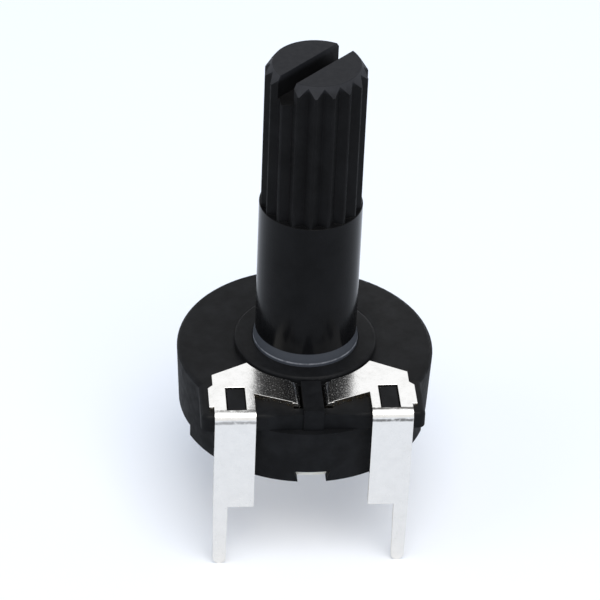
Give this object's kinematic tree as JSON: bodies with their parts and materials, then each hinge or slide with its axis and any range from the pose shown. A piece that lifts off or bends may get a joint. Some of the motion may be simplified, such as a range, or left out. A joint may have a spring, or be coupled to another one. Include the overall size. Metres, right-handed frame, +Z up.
{
  "type": "rotary potentiometer",
  "caption": "Small round board-mounted potentiometer with a long knurled, slotted plastic shaft and three solder pins.",
  "frame": {"origin": "on the shaft's axis, in the plane of the circuit board that the three terminals' shoulders stand on", "axes": "+Z up the shaft away from the board, the two end terminals towards -Y, the middle terminal towards +Y"},
  "size_m": [0.0152, 0.0156, 0.0301],
  "materials": {
    "housing_plastic": "black moulded, satin",
    "shaft_plastic": "black moulded, smooth below and matter on the teeth",
    "spring_bronze": "rolled phosphor bronze",
    "wafer_laminate": null,
    "carbon_film": "printed carbon",
    "silver_film": "printed silver",
    "tinned_terminal": "bright tin plate on brass, stained and bare at the cut edges",
    "tinned_collector": "bright tin plate on brass"
  },
  "bodies": {
    "body": {"housing": "housing_plastic", "resistor_wafer": "wafer_laminate", "carbon_track": "carbon_film", "left_end_pad": "silver_film", "right_end_pad": "silver_film", "left_terminal": "tinned_terminal", "right_terminal": "tinned_terminal", "collector_terminal": "tinned_collector"},
    "rotor": {"rotor_shaft": "shaft_plastic", "wiper_spring": "spring_bronze"}
  },
  "joints": [
    {"name": "shaft_turn", "type": "hinge", "parent": "body", "child": "rotor", "pos_m": [0, 0, 0.0064], "axis": [0, 0, 1], "range_deg": [-90, 180]}
  ]
}
